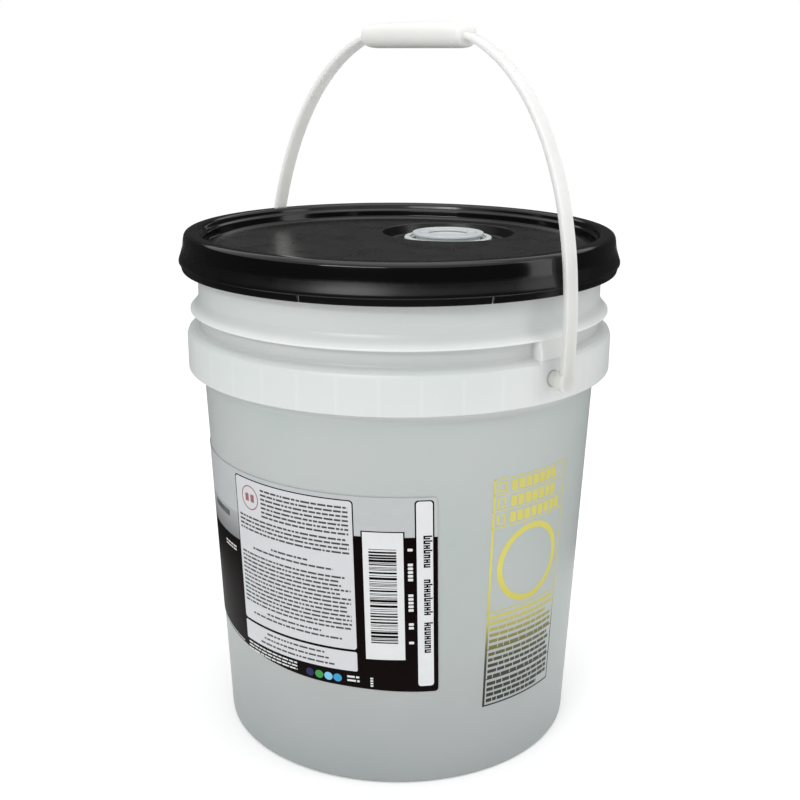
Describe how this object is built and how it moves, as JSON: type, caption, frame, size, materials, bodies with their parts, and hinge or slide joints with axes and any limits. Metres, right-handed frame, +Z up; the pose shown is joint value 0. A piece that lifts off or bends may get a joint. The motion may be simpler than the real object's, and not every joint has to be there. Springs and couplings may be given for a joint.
{
  "type": "laundry builder pail",
  "caption": "Round tapered plastic pail of liquid with a collar band, press-fit lid with a pull-up spout, swinging plastic bail and a wrap label.",
  "frame": {"origin": "middle of the foot, on the surface that the pail stands on", "axes": "+Z up along the pail's axis; X is the bail's pivot axis, with the ear that the picture shows at +X; the label faces -Y"},
  "size_m": [0.3312, 0.3122, 0.508],
  "materials": {
    "natural_polyethylene": "natural moulded polyethylene, milky and slightly translucent",
    "contents": "clear to cloudy alkaline liquid",
    "label_film": "printed film, grey and near-black fields with white panels",
    "bail_polyethylene": "moulded white polyethylene",
    "black_polyethylene": "glossy black moulded polyethylene",
    "gasket_rubber": "soft grey rubber",
    "spout_polyethylene": "natural soft polyethylene",
    "cap_polyethylene": "white moulded polyethylene"
  },
  "bodies": {
    "pail": {"pail_body": "natural_polyethylene", "liquid_fill": "contents", "front_label": "label_film"},
    "bail": {"bail": "bail_polyethylene"},
    "lid": {"lid": "black_polyethylene", "lid_gasket": "gasket_rubber", "spout_ring": "spout_polyethylene"},
    "spout": {"spout": "spout_polyethylene"},
    "cap": {"spout_cap": "cap_polyethylene"},
    "tab_rear": {"pull_tab_rear": "cap_polyethylene"},
    "tab_front": {"pull_tab_front": "cap_polyethylene"}
  },
  "joints": [
    {"name": "bail_swing", "type": "hinge", "parent": "pail", "child": "bail", "pos_m": [0, 0, 0.288], "axis": [1, 0, 0], "range_deg": [-130, 138]},
    {"name": "lid_lift", "type": "slide", "parent": "pail", "child": "lid", "axis": [0, 0, 1], "range_m": [0, 0.007]},
    {"name": "spout_pull", "type": "slide", "parent": "lid", "child": "spout", "axis": [0, 0, 1], "range_m": [0, 0.025], "deforming": ["spout"]},
    {"name": "cap_turn", "type": "hinge", "parent": "spout", "child": "cap", "pos_m": [-0.02795, 0.07282, 0.351], "axis": [0, 0, 1], "range_deg": [0, 450]},
    {"name": "tab_rear_fold", "type": "hinge", "parent": "cap", "child": "tab_rear", "pos_m": [-0.02916, 0.07387, 0.354], "axis": [0.6561, 0.7547, 0], "range_deg": [0, 90]},
    {"name": "tab_front_fold", "type": "hinge", "parent": "cap", "child": "tab_front", "pos_m": [-0.02675, 0.07177, 0.354], "axis": [-0.6561, -0.7547, 0], "range_deg": [0, 90]}
  ]
}
